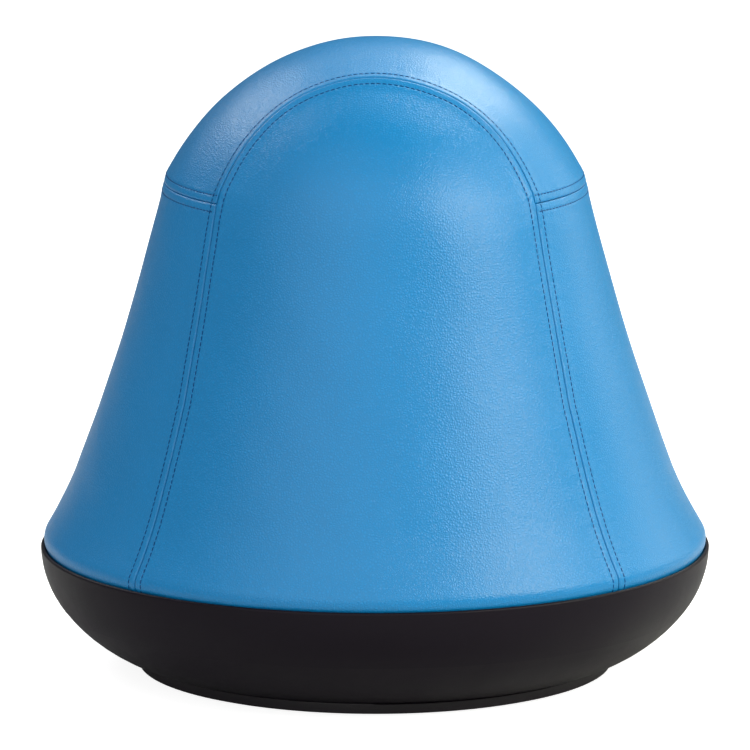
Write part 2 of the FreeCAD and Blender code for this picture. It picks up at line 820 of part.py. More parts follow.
def build_pivot():
    """The bolt that the seat turns on, with its washer and its lock nut."""
    shaft, play = cell("pivot_radius"), cell("running_clearance")
    head, head_height = cell("pivot_head_radius"), cell("pivot_head_height")
    head_low = cell("foot_clearance") + cell("pivot_head_recess")
    top, chamfer = cell("pivot_top"), cell("pin_chamfer")
    bolt = lathe("pivot_bolt", [
        to(0, head_low),
        to(head, head_low),
        to(head, head_low + head_height),
        to(shaft, head_low + head_height),
        to(shaft, top - chamfer),
        to(shaft - chamfer, top),
        to(0, top),
    ])
    washer_low = cell("hub_top") + cell("axial_play")
    washer_high = washer_low + cell("washer_skin")
    washer = lathe("pivot_washer", [
        to(shaft + play, washer_low),
        to(cell("washer_radius"), washer_low),
        to(cell("washer_radius"), washer_high),
        to(shaft + play, washer_high),
    ])
    half_flats = cell("nut_half_flats")
    corner = half_flats / cosine(as_size(30))
    across = [cosine(as_size(60 * step)) * corner for step in range(6)]
    along = [sine(as_size(60 * step)) * corner for step in range(6)]
    hexagon = [to(across[step], along[step]) for step in range(6)]
    block = upright_prism("nut_block", hexagon, washer_high, washer_high + cell("nut_height"))
    thread = primitive("Cylinder", "nut_bore", Radius=shaft + play, Height=cell("pivot_top"))
    return [bolt, washer, boolean("Cut", "pivot_nut", block, thread)]


def build_foot():
    """A low ribbed disc with a rubber grip ring under its edge."""
    radius, top, skin = cell("foot_radius"), cell("foot_top"), cell("foot_skin")
    low, edge = cell("foot_clearance"), cell("foot_edge_round")
    shaft = cell("pivot_radius") + cell("running_clearance")
    head = cell("pivot_head_radius") + cell("screw_play")
    head_top = low + cell("pivot_head_recess") + cell("pivot_head_height")
    hub, wall = cell("foot_hub_radius"), cell("grip_wall")
    grip_in, grip_out, grip_high = cell("grip_inner_radius"), cell("grip_outer_radius"), cell("grip_height")
    body = lathe("foot_body", [
        to(shaft, head_top),
        to(head, head_top),
        to(head, low),
        to(hub, low),
        to(hub, top - skin),
        to(grip_in - wall, top - skin),
        to(grip_in - wall, low),
        to(grip_in, low),
        to(grip_in, grip_high),
        to(grip_out, grip_high),
        to(grip_out, low),
        to(radius, low),
        to(radius, top - edge),
        arc_to(radius - edge, top, edge, "left"),
        to(shaft, top),
    ])
    rib_low, rib_start = low + cell("foot_rib_recess"), hub - cell("overlap")
    rib = [
        to(rib_start, rib_low),
        to(grip_in - wall / 2, rib_low),
        to(grip_in - wall / 2, top - skin / 2),
        to(rib_start, top - skin / 2),
    ]
    add_ribs(body, rib, cell("foot_rib_skin"), cell("foot_rib_count"))
    circle, count = cell("lower_screw_circle"), cell("plate_screw_count")
    add_bosses(body, rib_low, top - skin / 2, circle, count, "post")
    play, chamfer, groove = cell("grip_play"), cell("grip_chamfer"), cell("grip_groove")
    inner, outer = grip_in + play, grip_out - play
    third = (outer - inner) / 3
    grip = lathe("anti_slip_ring", [
        to(inner, chamfer),
        to(inner + chamfer, 0),
        to(inner + third, 0),
        to(inner + third, groove),
        to(outer - third, groove),
        to(outer - third, 0),
        to(outer - chamfer, 0),
        to(outer, chamfer),
        to(outer, grip_high),
        to(inner, grip_high),
    ])
    holes = lower_plate_screws("foot_screw_holes", cell("screw_play"))
    return [boolean("Cut", "foot_disc", body, holes), grip]


# Build, check and write ----------------------------------------------------------------------

def check(nodes):
    for item in doc.Objects:
        if "Invalid" in item.State or "Error" in item.State:
            raise RuntimeError(f"{item.Name} failed: {item.State}")
    for node in nodes:
        if node.Shape.isNull() or not node.Shape.isValid() or not node.Shape.Solids:
            raise RuntimeError(f"{node.Label} has no valid solid")


def main():
    nodes = build_foot() + build_turntable() + build_pivot() + [build_bowl()]
    nodes += build_cradle() + build_ball() + build_hem() + build_cover()
    doc.recompute()
    check(nodes)
    os.makedirs("parts", exist_ok=True)
    for node in nodes:
        node.Shape.exportStep(f"parts/{node.Label}.step")
        print(node.Label, len(node.Shape.Solids), round(node.Shape.Volume), node.Shape.BoundBox)


main()
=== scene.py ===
"""Looks of the active-sitting ball seat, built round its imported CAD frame.

Metres, +Z up, origin on the floor on the seat's axis, front towards -Y. The cover is worked out on
"length, azimuth" places: the length along the cover's outline from its top, and the angle round the
axis from the front, positive towards +X.
"""
import json
import math

import bpy
import numpy as np
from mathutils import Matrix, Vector
from mathutils.geometry import delaunay_2d_cdt
from mathutils.kdtree import KDTree


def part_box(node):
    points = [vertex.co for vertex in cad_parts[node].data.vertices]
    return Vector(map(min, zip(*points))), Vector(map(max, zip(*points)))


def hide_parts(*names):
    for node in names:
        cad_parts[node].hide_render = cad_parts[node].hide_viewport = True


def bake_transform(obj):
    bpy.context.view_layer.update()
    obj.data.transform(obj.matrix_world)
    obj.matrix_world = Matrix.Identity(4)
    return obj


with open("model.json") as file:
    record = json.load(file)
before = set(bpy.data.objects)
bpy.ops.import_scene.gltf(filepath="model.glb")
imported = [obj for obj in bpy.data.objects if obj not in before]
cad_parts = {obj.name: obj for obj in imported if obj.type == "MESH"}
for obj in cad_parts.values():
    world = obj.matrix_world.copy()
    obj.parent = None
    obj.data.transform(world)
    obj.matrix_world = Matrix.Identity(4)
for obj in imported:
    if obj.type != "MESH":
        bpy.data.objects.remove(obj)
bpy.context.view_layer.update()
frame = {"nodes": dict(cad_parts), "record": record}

MM = 0.001

# Cover outline: the CAD cover's driving dimensions.
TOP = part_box("crown_panel")[1][2]
CROWN_ARC = 0.1915
CROWN_ANGLE = math.radians(30)
DOME_ARC = 0.2390
SHOULDER = (0.1895, 0.4530)
WAIST_ARC = 2.175
WAIST = (0.2694, 0.189)
FLARE_ARC = 0.311
FLARE_ANGLE = math.radians(30.5)
FLARE_STRAIGHT = 0.015
HOOP = (0.2872, 0.1182)
ROLL = 0.0148
HEM_ANGLE = math.radians(50)
SKIN = 0.0016
LINING = 0.0029

# Seams of the cover, in plan and along its outline.
SEAM_DROP = 0.0070
SEAM_RADIUS = 0.1914
ARCH_REACH = 0.091
ARCH_TOP_ARC = 0.490
ARCH_TOP_HALF = 0.061
ARCH_SIDE_ARC = 0.1568
ARCH_FOOT_ANGLE = math.radians(48.2)
SEAM_BEND_RADIUS = 0.240
SEAM_BEND_DROP = 0.2
SEAM_ANGLE = math.radians(45.5)
ARCH_LIMIT = 0.15

# Sewing.
STITCH_PITCH = 0.0052
STITCH_LENGTH = 0.0047
STITCH_SLANT = 0.00022
STITCH_MARGIN = 0.0076
THREAD_RADIUS = 0.00043

# Spacing of the cover's mesh. The lines beside a seam are closest where its relief is sharpest.
SEAM_STEP = STITCH_PITCH / 3
SEAM_LINES = np.array([0.6, 1.3, 2.4, 4.2, 5.8, 6.8, 7.6, 8.4, 9.6, 11.4]) * MM
SEAM_CLEAR = 0.0132
LINE_CLEAR = 0.55 * MM
HEM_CLEAR = 0.4 * MM
PANEL_STEP = 0.0048
ROLL_STEP = 0.0026
ROLL_REACH = 0.045
ROW_SHARE = 0.9
FEWEST_IN_ROW = 6
ARC_POINTS = 80
SEAM_POINTS = 900
SHOULDER_POINTS = 400
MERGE_DISTANCE = 1e-7
INSIDE_BORDER = 1


# Outline of the cover -------------------------------------------------------------------------

def smoothstep(low, high, value):
    """A soft step from 0 at low to 1 at high."""
    share = np.clip((value - low) / (high - low), 0, 1)
    return share * share * (3 - 2 * share)


def arc(start, end, radius, turn):
    """Points of an arc. turn is 1 where its centre is on the left of the way travelled, else -1."""
    start, end = np.array(start), np.array(end)
    chord = end - start
    length = np.linalg.norm(chord)
    sideways = np.array([-chord[1], chord[0]]) / length
    centre = (start + end) / 2 + turn * sideways * math.sqrt(radius ** 2 - length ** 2 / 4)
    first = math.atan2(start[1] - centre[1], start[0] - centre[0])
    sweep = turn * 2 * math.asin(length / (2 * radius))
    angles = first + np.linspace(0, sweep, ARC_POINTS)
    return centre + radius * np.stack([np.cos(angles), np.sin(angles)], axis=1)


def round_hoop(radius, angle):
    """A point round the hem's hoop, at an angle above level."""
    return HOOP[0] + radius * math.cos(angle), HOOP[1] + radius * math.sin(angle)


def run_along(points):
    """The length from the first point of a line to each of its points."""
    steps = np.linalg.norm(np.diff(points, axis=0), axis=1)
    return np.concatenate([[0], np.cumsum(steps)])


def outline_points():
    """The cover's half section, from the top to the hem, as (radius, height) points."""
    crown_end = (CROWN_ARC * math.sin(CROWN_ANGLE), TOP - CROWN_ARC * (1 - math.cos(CROWN_ANGLE)))
    roll_start = round_hoop(ROLL, FLARE_ANGLE)
    flare_end = (roll_start[0] - FLARE_STRAIGHT * math.sin(FLARE_ANGLE),
                 roll_start[1] + FLARE_STRAIGHT * math.cos(FLARE_ANGLE))
    stretches = [
        arc((0, TOP), crown_end, CROWN_ARC, -1),
        arc(crown_end, SHOULDER, DOME_ARC, -1),
        arc(SHOULDER, WAIST, WAIST_ARC, 1),
        arc(WAIST, flare_end, FLARE_ARC, 1),
        arc(roll_start, round_hoop(ROLL, -HEM_ANGLE), ROLL, -1),
    ]
    return np.concatenate(stretches)


def blurred(values, spread):
    """A running average with a bell-shaped weight. spread is in samples."""
    reach = int(4 * spread)
    weights = np.exp(-0.5 * (np.arange(-reach, reach + 1) / spread) ** 2)
    padded = np.pad(values, reach, mode="edge")
    return np.convolve(padded, weights / weights.sum(), mode="valid")


class Outline:
    """The cover's half section by length along it, with its shoulder eased by two amounts."""

    STEP = 0.0005
    CRISP = 0.0035
    SOFT = 0.020
    REACH = 0.075
    NEAR_TOP = 0.004
    SOFT_ANGLE = math.radians(20)
    CRISP_ANGLE = math.radians(46)

    def __init__(self):
        points = outline_points()
        run = run_along(points)
        self.end = run[-1]
        self.length = np.arange(0, self.end + self.STEP / 2, self.STEP)
        radius = np.interp(self.length, run, points[:, 0])
        height = np.interp(self.length, run, points[:, 1])
        corner = self.length[np.argmin(np.abs(height - SHOULDER[1]))]
        self.shoulder = corner + SEAM_DROP
        near = 1 - smoothstep(0.5, 1, np.abs(self.length - corner) / self.REACH)
        self.tables = []
        for spread in (self.CRISP, self.SOFT):
            eased_radius = blurred(radius, spread / self.STEP)
            eased_height = blurred(height, spread / self.STEP)
            self.tables.append((radius + near * (eased_radius - radius),
                                height + near * (eased_height - height)))
        self.radius = self.tables[0][0]
        growth = np.cumsum(self.STEP / np.maximum(self.radius, self.STEP))
        start = np.searchsorted(self.length, self.NEAR_TOP)
        self.spread = np.exp(growth - growth[np.argmin(np.abs(self.length - self.shoulder))])
        self.spread[:start] = self.spread[start] * self.length[:start] / self.length[start]

    def at(self, length, azimuth):
        """Radius and height. The shoulder is crisp over the sides and soft in front and behind."""
        from_front = np.abs((azimuth + math.pi / 2) % math.pi - math.pi / 2)
        soft = 1 - smoothstep(self.SOFT_ANGLE, self.CRISP_ANGLE, from_front)
        crisp_radius, soft_radius = (np.interp(length, self.length, table[0]) for table in self.tables)
        crisp_height, soft_height = (np.interp(length, self.length, table[1]) for table in self.tables)
        radius = crisp_radius + soft * (soft_radius - crisp_radius)
        return radius, crisp_height + soft * (soft_height - crisp_height)

    def to_plane(self, places):
        """An angle-keeping map of the cover, spread flat like a disc."""
        reach = np.interp(places[:, 0], self.length, self.spread)
        return np.stack([reach * np.sin(places[:, 1]), -reach * np.cos(places[:, 1])], axis=1)

    def from_plane(self, points):
        """The places that a point of the flat map stands for."""
        reach = np.hypot(points[:, 0], points[:, 1])
        length = np.interp(reach, self.spread, self.length)
        return np.stack([length, np.arctan2(points[:, 0], -points[:, 1])], axis=1)


OUTLINE = Outline()


def surface(places):
    """Points of the smooth cover at length, azimuth places."""
    radius, height = OUTLINE.at(places[:, 0], places[:, 1])
    return np.stack([radius * np.sin(places[:, 1]), -radius * np.cos(places[:, 1]), height], axis=1)


# The least length of a vector, the step for slopes, and the radius that counts as the axis.
SHORTEST = 1e-12
PROBE = 0.0006
ON_AXIS = 1e-4


def unit(vectors):
    """The same vectors, one long."""
    return vectors / np.maximum(np.linalg.norm(vectors, axis=1, keepdims=True), SHORTEST)


def directions(places):
    """Unit vectors down the outline, round the axis, and out of the surface."""
    radius, _ = OUTLINE.at(places[:, 0], places[:, 1])
    step = np.array([PROBE, 0])
    inside = np.clip(places[:, 0], step[0], OUTLINE.end - step[0])
    middle = np.stack([inside, places[:, 1]], axis=1)
    down = unit(surface(middle + step) - surface(middle - step))
    across = np.stack([np.cos(places[:, 1]), np.sin(places[:, 1]), np.zeros(len(places))], axis=1)
    out = unit(np.cross(down, across))
    out[radius < ON_AXIS] = (0, 0, 1)
    return down, across, out


# Seams ----------------------------------------------------------------------------------------

def arch_depth(across):
    """How far in front of the axis the arched seam runs, at a place across the seat."""
    across = np.abs(across)
    top = ARCH_TOP_ARC - np.sqrt(ARCH_TOP_ARC ** 2 - np.minimum(across, ARCH_TOP_HALF) ** 2)
    start = math.asin(ARCH_TOP_HALF / ARCH_TOP_ARC)
    rest = np.maximum(across - ARCH_TOP_HALF, 0) / ARCH_SIDE_ARC + math.sin(start)
    side = ARCH_SIDE_ARC * (math.cos(start) - np.sqrt(np.maximum(1 - rest ** 2, 0)))
    return ARCH_REACH + top + side


def upright_azimuth(length):
    """Azimuth of the right front upright seam, below the shoulder."""
    radius = np.interp(length, OUTLINE.length, OUTLINE.radius)
    below_bend = length > OUTLINE.shoulder + SEAM_BEND_DROP
    azimuth = np.interp(radius, [SEAM_RADIUS, SEAM_BEND_RADIUS], [ARCH_FOOT_ANGLE, SEAM_ANGLE])
    return np.where(below_bend, SEAM_ANGLE, azimuth)


def even(places, step):
    """The same line with evenly spaced places, its two ends kept."""
    run = run_along(surface(places))
    count = max(2, round(run[-1] / step)) + 1
    wanted = np.linspace(0, run[-1], count)
    return np.stack([np.interp(wanted, run, places[:, axis]) for axis in (0, 1)], axis=1)


def upright_seam(step):
    """The right front upright seam, from the shoulder down to the hem."""
    length = np.linspace(OUTLINE.shoulder, OUTLINE.end, SEAM_POINTS)
    return even(np.stack([length, upright_azimuth(length)], axis=1), step)


def arch_seam(step):
    """The front arched seam, from the left shoulder over to the right one."""
    foot = SEAM_RADIUS * math.sin(ARCH_FOOT_ANGLE)
    across = foot * np.sin(np.linspace(-math.pi / 2, math.pi / 2, SEAM_POINTS))
    forward = arch_depth(across)
    foot_forward = SEAM_RADIUS * math.cos(ARCH_FOOT_ANGLE)
    forward = forward + (foot_forward - arch_depth(foot)) * (across / foot) ** 4
    radius = np.hypot(across, forward)
    dome = OUTLINE.length <= OUTLINE.shoulder
    length = np.interp(radius, OUTLINE.radius[dome], OUTLINE.length[dome])
    length[[0, -1]] = OUTLINE.shoulder
    return even(np.stack([length, np.arctan2(across, forward)], axis=1), step)


def mirrored(places):
    """The same line on the other side of the seat."""
    return places * np.array([1, -1])


def turned(places):
    """The same line on the back of the seat."""
    return places + np.array([0, math.pi])


def shoulder_seam(step, run_on=0.0):
    """The right shoulder seam, from the front arch's foot round to the rear arch's foot."""
    azimuth = np.linspace(ARCH_FOOT_ANGLE - run_on, math.pi - ARCH_FOOT_ANGLE + run_on, SHOULDER_POINTS)
    return even(np.stack([np.full(SHOULDER_POINTS, OUTLINE.shoulder), azimuth], axis=1), step)


def front_seam(step):
    """One line from the left hem, up, over the arch and down to the right hem."""
    upright = upright_seam(step)
    return np.concatenate([mirrored(upright)[::-1], arch_seam(step)[1:-1], upright])


def seam_lines(step):
    """Every seam of the cover as one line each."""
    front = front_seam(step)
    shoulder = shoulder_seam(step)
    return {"front": front, "rear": turned(front), "right": shoulder, "left": mirrored(shoulder)}


def moved(places, distance):
    """A line beside a line, at a distance over the surface. Positive is to the right of its way."""
    points = surface(places)
    way = unit(np.gradient(points, axis=0))
    down, across, out = directions(places)
    aside = unit(np.cross(way, out)) * np.reshape(distance, (-1, 1))
    radius, _ = OUTLINE.at(places[:, 0], places[:, 1])
    length = places[:, 0] + (aside * down).sum(axis=1)
    azimuth = places[:, 1] + (aside * across).sum(axis=1) / radius
    return np.stack([length, azimuth], axis=1)


def panel_of(places):
    """Which panel each place is on: front, back, crown, right or left."""
    length, azimuth = places[:, 0], (places[:, 1] + math.pi) % (2 * math.pi) - math.pi
    radius = np.interp(length, OUTLINE.length, OUTLINE.radius)
    across, forward = radius * np.sin(azimuth), radius * np.cos(azimuth)
    above = length < OUTLINE.shoulder
    limit = arch_depth(np.clip(across, -ARCH_LIMIT, ARCH_LIMIT))
    seam = np.where(above, math.pi / 2, upright_azimuth(length))
    side = np.where(azimuth > 0, "right", "left")
    on_dome = np.where(forward > limit, "front", np.where(forward < -limit, "back", "crown"))
    turn = np.abs(azimuth)
    on_skirt = np.where(turn < seam, "front", np.where(turn > math.pi - seam, "back", side))
    return np.where(above, on_dome, on_skirt)


class SeamFinder:
    """Tells how far places are from each seam, and how far along it."""

    FINE = 0.00035

    def __init__(self):
        self.lines = {}
        for name, places in seam_lines(self.FINE).items():
            points = surface(places)
            run = run_along(points)
            tree = KDTree(len(points))
            for index, point in enumerate(points):
                tree.insert(point, index)
            tree.balance()
            self.lines[name] = (tree, run)

    def measure(self, points):
        """For each seam, the distances of the points from it and the lengths along it."""
        found = {}
        for name, (tree, run) in self.lines.items():
            nearest = [tree.find(point) for point in points]
            distance = np.array([item[2] for item in nearest])
            along = run[np.array([item[1] for item in nearest])]
            found[name] = (distance, along)
        return found


SEAMS = SeamFinder()


# Cover surface with its sewn relief -----------------------------------------------------------

CREASE_DEPTH = 3.4 * MM
CREASE_START = 0.012
CREASE_REACH = 0.058
CREASE_FADE = (0.012, 0.030)
SKIRT_PULL = 0.7 * MM
SKIRT_PULL_REACH = 0.028
ALLOWANCE_RISE = 0.45 * MM
ALLOWANCE_EDGE = (7.4 * MM, 15 * MM)
GROOVE_DEPTH = 1.5 * MM
GROOVE_HALF = 0.75 * MM
GROOVE_POWER = 1.6
ROW_DEPTH = 0.60 * MM
ROW_HALF = 0.85 * MM
HOLE_SHARE = 0.2
PUCKER = 0.24 * MM
PUCKER_PLACE = 0.015
PUCKER_HALF = 0.009
PUCKER_WAVES = [(0.0093, 0.9), (0.0147, 1.0), (0.0229, 0.8), (0.041, 0.6)]
PUCKER_SHIFT = 1.7
SLACK_SLOW = 0.45 * MM
SLACK_FINE = 0.16 * MM
HEM_FIRMNESS = 0.75
HEM_FIRM_FROM = 0.05
HEM_FIRM_TO = 0.02


def bell(distance, half):
    """A bell curve, 1 at no distance."""
    return np.exp(-(distance / half) ** 2)


def ripple(along, seed):
    """A smooth, repeatable wave without a plain period, from -1 to 1."""
    total = sum(size * np.sin(2 * math.pi * along / pitch + seed * (index + 1) * PUCKER_SHIFT)
                for index, (pitch, size) in enumerate(PUCKER_WAVES))
    return total / sum(size for _, size in PUCKER_WAVES)


def crease(distance):
    """How far the panels lie in from the round dome beside an arched seam, which stands proud."""
    return -CREASE_DEPTH * (1 - np.exp(-distance / CREASE_START)) * bell(distance, CREASE_REACH)


def sewn_relief(places, points):
    """Height that the seams, their allowances and their stitches add to the smooth cover."""
    above, below = CREASE_FADE
    on_dome = 1 - smoothstep(OUTLINE.shoulder - above, OUTLINE.shoulder + below, places[:, 0])
    ridge = np.zeros(len(points))
    groove = np.zeros(len(points))
    dimples = np.zeros(len(points))
    pull = np.zeros(len(points))
    pucker = np.zeros(len(points))
    for seed, (name, (distance, along)) in enumerate(SEAMS.measure(points).items(), start=1):
        ridge = np.maximum(ridge, ALLOWANCE_RISE * (1 - smoothstep(*ALLOWANCE_EDGE, distance)))
        groove = np.minimum(groove, -GROOVE_DEPTH * np.exp(-(distance / GROOVE_HALF) ** GROOVE_POWER))
        hole = 1 - HOLE_SHARE + HOLE_SHARE * np.cos(2 * math.pi * along / STITCH_PITCH)
        dimples = np.minimum(dimples, -ROW_DEPTH * bell(distance - STITCH_MARGIN, ROW_HALF) * hole)
        if name in ("front", "rear"):
            pull = np.minimum(pull, on_dome * crease(distance))
            pull = np.minimum(pull, (on_dome - 1) * SKIRT_PULL * bell(distance, SKIRT_PULL_REACH))
        pucker += PUCKER * bell(distance - PUCKER_PLACE, PUCKER_HALF) * ripple(along, seed)
    return ridge + groove + dimples + pull + pucker


def slack(points):
    """The slow unevenness of a sewn cover over a ball and a lining: waves in radians per metre."""
    across, deep, height = points.T
    wave = np.sin(across * 31 + 1.3 * np.sin(height * 17)) * np.sin(height * 23 + deep * 19 + 0.7)
    fine = np.sin(across * 67 + height * 41 + 2.1) * np.sin(deep * 59 - height * 37)
    return SLACK_SLOW * wave + SLACK_FINE * fine


def cover_points(places, depth=0.0):
    """The finished cover's points, at a depth under its outer face."""
    points = surface(places)
    _, _, out = directions(places)
    near_hem = smoothstep(OUTLINE.end - HEM_FIRM_FROM, OUTLINE.end - HEM_FIRM_TO, places[:, 0])
    height = sewn_relief(places, points) + slack(points) * (1 - HEM_FIRMNESS * near_hem) - depth
    return points + out * height[:, None]


def lattice():
    """Evenly spread places over the whole cover, closer together on the hem roll."""
    rows = [np.array([[0.0, 0.0]])]
    length, index = PANEL_STEP, 0
    while length < OUTLINE.end - ROLL_STEP / 2:
        step = ROLL_STEP if length > OUTLINE.end - ROLL_REACH else PANEL_STEP
        radius = float(np.interp(length, OUTLINE.length, OUTLINE.radius))
        count = max(FEWEST_IN_ROW, round(2 * math.pi * radius / step))
        azimuth = (np.arange(count) + 0.5 * (index % 2)) * 2 * math.pi / count
        rows.append(np.stack([np.full(count, length), azimuth], axis=1))
        length += step * ROW_SHARE
        index += 1
    return np.concatenate(rows)


def nearest_seam(places):
    """How far each place is from the seam that is nearest to it."""
    return np.min([distance for distance, _ in SEAMS.measure(surface(places)).values()], axis=0)


def candidate_places():
    """Places that the panels' meshes may use: lines beside the seams, and the lattice between."""
    beside = []
    for places in seam_lines(SEAM_STEP).values():
        for distance in SEAM_LINES:
            beside.append(moved(places, distance))
            beside.append(moved(places, -distance))
    beside = np.concatenate(beside)
    beside = beside[beside[:, 0] < OUTLINE.end - HEM_CLEAR]
    beside = beside[nearest_seam(beside) > LINE_CLEAR]
    between = lattice()
    between = between[nearest_seam(between) > SEAM_CLEAR]
    return np.concatenate([beside, between])


# About the hem's radius, to count the places along it.
HEM_RADIUS = 0.3


def hem_line(first, last):
    """Places along the hem between two azimuths."""
    count = max(2, round(abs(last - first) * HEM_RADIUS / ROLL_STEP)) + 1
    return np.stack([np.full(count, OUTLINE.end), np.linspace(first, last, count)], axis=1)


def panel_borders():
    """Each panel's closed border as a loop of places."""
    upright, arch, shoulder = upright_seam(SEAM_STEP), arch_seam(SEAM_STEP), shoulder_seam(SEAM_STEP)
    front_hem = hem_line(SEAM_ANGLE, -SEAM_ANGLE)
    front = np.concatenate([mirrored(upright)[::-1], arch[1:-1], upright, front_hem[1:-1]])
    rear_upright = np.stack([upright[:, 0], math.pi - upright[:, 1]], axis=1)
    side_hem = hem_line(math.pi - SEAM_ANGLE, SEAM_ANGLE)
    right = np.concatenate([shoulder, rear_upright[1:], side_hem[1:-1], upright[::-1][:-1]])
    crown = np.concatenate([arch, shoulder[1:-1], turned(arch), turned(shoulder)[1:-1]])
    return {"front": front, "back": turned(front), "crown": crown,
            "right": right, "left": mirrored(right)}


def triangulate(border, inner):
    """Triangles over a closed border and the places inside it."""
    plane = OUTLINE.to_plane(np.concatenate([border, inner]))
    corners = [Vector(point) for point in plane]
    loop = list(range(len(border)))
    points, _, faces, *_ = delaunay_2d_cdt(corners, [], [loop], INSIDE_BORDER, MERGE_DISTANCE)
    places = OUTLINE.from_plane(np.array([point[:] for point in points]))
    return places, faces


def mesh_object(name, points, faces, material):
    """A smooth-shaded object with one material."""
    mesh = bpy.data.meshes.new(name)
    mesh.from_pydata([tuple(point) for point in points], [], faces)
    mesh.materials.append(material)
    mesh.validate()
    mesh.update()
    mesh.polygons.foreach_set("use_smooth", [True] * len(mesh.polygons))
    piece = bpy.data.objects.new(name, mesh)
    bpy.context.scene.collection.objects.link(piece)
    return piece


def apply_modifiers(piece):
    """Makes the result of a piece's modifiers its own mesh."""
    depsgraph = bpy.context.evaluated_depsgraph_get()
    finished = bpy.data.meshes.new_from_object(piece.evaluated_get(depsgraph))
    piece.modifiers.clear()
    piece.data = finished


def face_normals(corners):
    """The normal of each triangle, as long as twice its area."""
    return np.cross(corners[:, 1] - corners[:, 0], corners[:, 2] - corners[:, 0])


SEAT_MIDDLE = np.array([0, 0, 0.3])


def facing_out(points, faces):
    """The same triangles, wound so that they face away from the seat's middle."""
    faces = np.array(faces)
    corners = points[faces]
    outward = corners.mean(axis=1) - SEAT_MIDDLE
    inward = (face_normals(corners) * outward).sum(axis=1) < 0
    if np.mean(inward) > 0.5:
        faces = faces[:, ::-1]
    return faces.tolist()


def closed_sheet(name, points, faces, thickness, material):
    """A closed sheet of one thickness under an outer face."""
    piece = mesh_object(name, points, facing_out(points, faces), material)
    solid = piece.modifiers.new("thickness", "SOLIDIFY")
    solid.thickness = thickness
    solid.offset = -1
    solid.use_even_offset = False
    apply_modifiers(piece)
    return piece


# Materials ------------------------------------------------------------------------------------

class Look:
    """A node material being built: a Principled shader and the nodes that feed it."""

    def __init__(self, name, color, roughness, **sockets):
        self.material = bpy.data.materials.new(name)
        self.material.use_nodes = True
        self.tree = self.material.node_tree
        self.shader = self.tree.nodes["Principled BSDF"]
        self.shader.inputs["Base Color"].default_value = (*color, 1)
        self.shader.inputs["Roughness"].default_value = roughness
        for socket, value in sockets.items():
            self.shader.inputs[socket.replace("_", " ")].default_value = value
        self.place = self.tree.nodes.new("ShaderNodeTexCoord").outputs["Object"]

    def node(self, kind, settings=None, **inputs):
        """A new node with its settings, and its inputs given as values or as other sockets.

        An input goes by its name, or by its place as i0, i1 and so on.
        """
        node = self.tree.nodes.new(kind)
        for key, value in (settings or {}).items():
            setattr(node, key, value)
        for key, value in inputs.items():
            socket = node.inputs[int(key[1:]) if key[0] == "i" and key[1:].isdigit() else key]
            if isinstance(value, bpy.types.NodeSocket):
                self.tree.links.new(value, socket)
            else:
                socket.default_value = value
        return node

    def math(self, operation, first, second=0.0):
        """One value worked out from two."""
        return self.node("ShaderNodeMath", {"operation": operation}, i0=first, i1=second).outputs[0]

    def remap(self, value, low, high, out_low, out_high):
        """A value's range moved softly to another range."""
        settings = {"interpolation_type": "SMOOTHSTEP"}
        inputs = {"Value": value, "From Min": low, "From Max": high, "To Min": out_low, "To Max": out_high}
        return self.node("ShaderNodeMapRange", settings, **inputs).outputs[0]

    def noise(self, scale, detail=2.0, vector=None):
        """Cloudy noise."""
        vector = vector or self.place
        return self.node("ShaderNodeTexNoise", Vector=vector, Scale=scale, Detail=detail).outputs["Fac"]

    def cells(self, scale, vector=None, feature="DISTANCE_TO_EDGE"):
        """A pattern of cells, as the distance from their edges or from their middles."""
        vector = vector or self.place
        settings = {"feature": feature}
        return self.node("ShaderNodeTexVoronoi", settings, Vector=vector, Scale=scale).outputs["Distance"]

    def shifted(self, amount, scale):
        """The place, pushed about by noise, so that a pattern laid on it isn't regular."""
        noise = self.node("ShaderNodeTexNoise", Vector=self.place, Scale=scale, Detail=2.0).outputs["Color"]
        centred = self.node("ShaderNodeVectorMath", {"operation": "SUBTRACT"}, i0=noise, i1=(0.5, 0.5, 0.5))
        settings = {"operation": "MULTIPLY_ADD"}
        push = (amount, amount, amount)
        pushed = self.node("ShaderNodeVectorMath", settings, i0=centred.outputs[0], i1=push, i2=self.place)
        return pushed.outputs[0]

    def tint(self, factor, low, high):
        """Colours the surface between two shades by a factor from 0 to 1."""
        mix = self.node("ShaderNodeMix", {"data_type": "RGBA"}, i0=factor, i6=(*low, 1), i7=(*high, 1))
        self.tree.links.new(mix.outputs[2], self.shader.inputs["Base Color"])

    def rough(self, value):
        """Feeds the surface's roughness."""
        self.tree.links.new(value, self.shader.inputs["Roughness"])

    def bump(self, height, depth, strength):
        """Relief of a depth in metres."""
        relief = self.node("ShaderNodeBump", Strength=strength, Distance=depth, Height=height)
        self.tree.links.new(relief.outputs["Normal"], self.shader.inputs["Normal"])


def shade(color, factor):
    """The same colour, darker or lighter."""
    return tuple(channel * factor for channel in color)


# Grain of the leathercloth: scales are in cells or waves per metre.
GRAIN_WANDER = 0.0011
GRAIN_WANDER_SCALE = 420
PEBBLE_SCALE, PEBBLE_EDGE, PEBBLE_SHARE = 400, 0.36, 0.80
CREASE_SCALE, CREASE_EDGE, CREASE_SHARE = 980, 0.28, 0.14
SWELL_SCALE, SWELL_SHARE = 170, 0.55
GRAIN_DEPTH = 0.20 * MM
GRAIN_STRENGTH = 0.85


